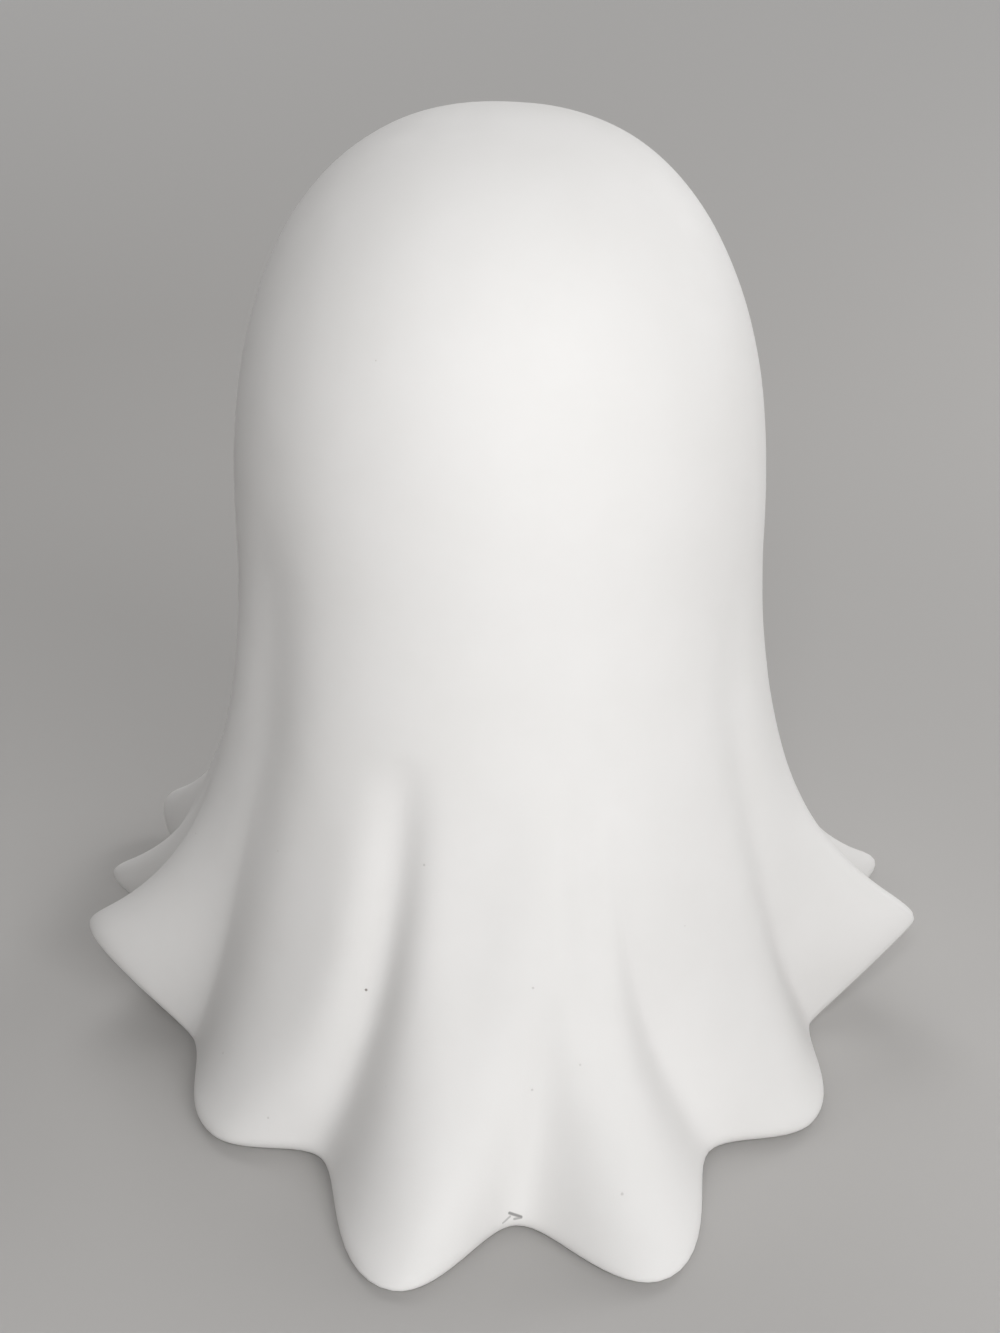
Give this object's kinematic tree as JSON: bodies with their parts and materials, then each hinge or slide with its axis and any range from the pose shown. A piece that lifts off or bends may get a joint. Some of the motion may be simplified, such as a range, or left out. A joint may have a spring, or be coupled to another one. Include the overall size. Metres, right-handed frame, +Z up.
{
  "type": "tabletop ghost figure",
  "caption": "Hollow white ceramic sheet-ghost figure with flared, lifted folds and a battery lamp held in its floor.",
  "frame": {"origin": "on the table, under the middle of the figure", "axes": "+Z up, -Y out of the plain back, +Y out of the cut face, +X to the right seen from the back"},
  "size_m": [0.2244, 0.2284, 0.2303],
  "materials": {
    "bisque": "matte bisque, slightly warm white",
    "felt": "thin pressed felt",
    "rubber": "soft matte rubber",
    "white_plastic": "moulded, fine satin",
    "frosted_plastic": "frosted, translucent",
    "board": "green solder resist",
    "black_plastic": "satin black",
    "led_resin": "clear warm resin",
    "cell_wrap": "printed wrap left plain",
    "nickel": "nickel-plated sheet and wire",
    "steel": "zinc-plated screw",
    "red_wire": "red wire sleeve"
  },
  "bodies": {
    "root": {"ghost_shell": "bisque", "felt_pad_1": "felt", "felt_pad_2": "felt", "felt_pad_3": "felt", "felt_pad_4": "felt", "felt_pad_5": "felt", "felt_pad_6": "felt", "felt_pad_7": "felt", "rubber_grommet": "rubber", "battery_box": "white_plastic", "lamp_cover": "white_plastic", "cover_screw_1": "steel", "cover_screw_2": "steel", "cover_screw_3": "steel", "cover_screw_4": "steel", "diffuser_dome": "frosted_plastic", "circuit_board": "board", "timer_chip": "black_plastic", "led": "led_resin", "switch_body": "black_plastic", "switch_lead_left": "black_plastic", "switch_lead_right": "black_plastic", "battery_lead_black": "black_plastic", "battery_lead_red": "red_wire", "battery_1": "cell_wrap", "battery_2": "cell_wrap", "battery_3": "cell_wrap", "contact_negative": "nickel", "contact_positive": "nickel", "contact_link_left": "nickel", "contact_link_right": "nickel"},
    "battery_door": {"battery_door": "white_plastic"},
    "switch_knob": {"switch_knob": "black_plastic"}
  },
  "joints": [
    {"name": "door_slide", "type": "slide", "parent": "root", "child": "battery_door", "axis": [0, -1, 0], "range_m": [0, 0.008]},
    {"name": "knob_slide", "type": "slide", "parent": "root", "child": "switch_knob", "axis": [1, 0, 0], "range_m": [0, 0.003]}
  ]
}
